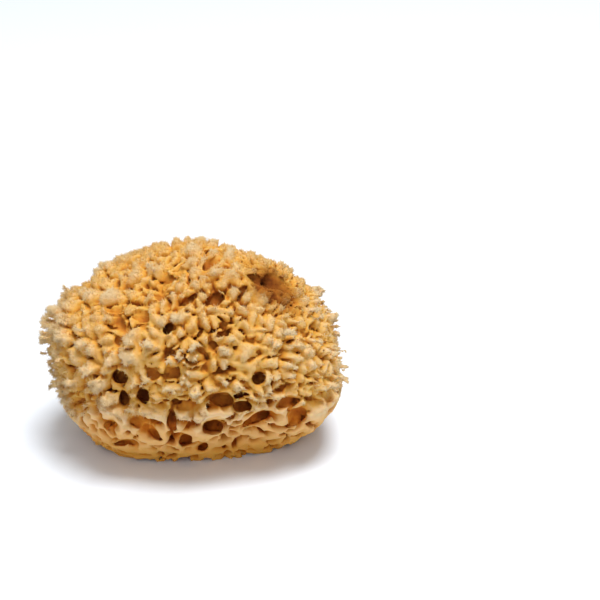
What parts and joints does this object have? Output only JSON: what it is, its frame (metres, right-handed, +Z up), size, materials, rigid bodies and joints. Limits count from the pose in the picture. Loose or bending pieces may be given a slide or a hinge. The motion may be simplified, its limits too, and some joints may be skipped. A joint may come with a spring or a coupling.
{
  "type": "sea sponge",
  "caption": "Rounded dried natural sponge with a lumpy, creased skin, deep pits and a flat trimmed base to rest on.",
  "frame": {"origin": "middle of the sponge's outline, on the flat trimmed base it rests on", "axes": "+X along the longest way across, to the right of someone who looks at the front; +Y to the back; +Z up"},
  "size_m": [0.1332, 0.109, 0.0919],
  "materials": {
    "sponge": null
  },
  "bodies": {
    "root": {"sponge": "sponge"}
  },
  "joints": []
}
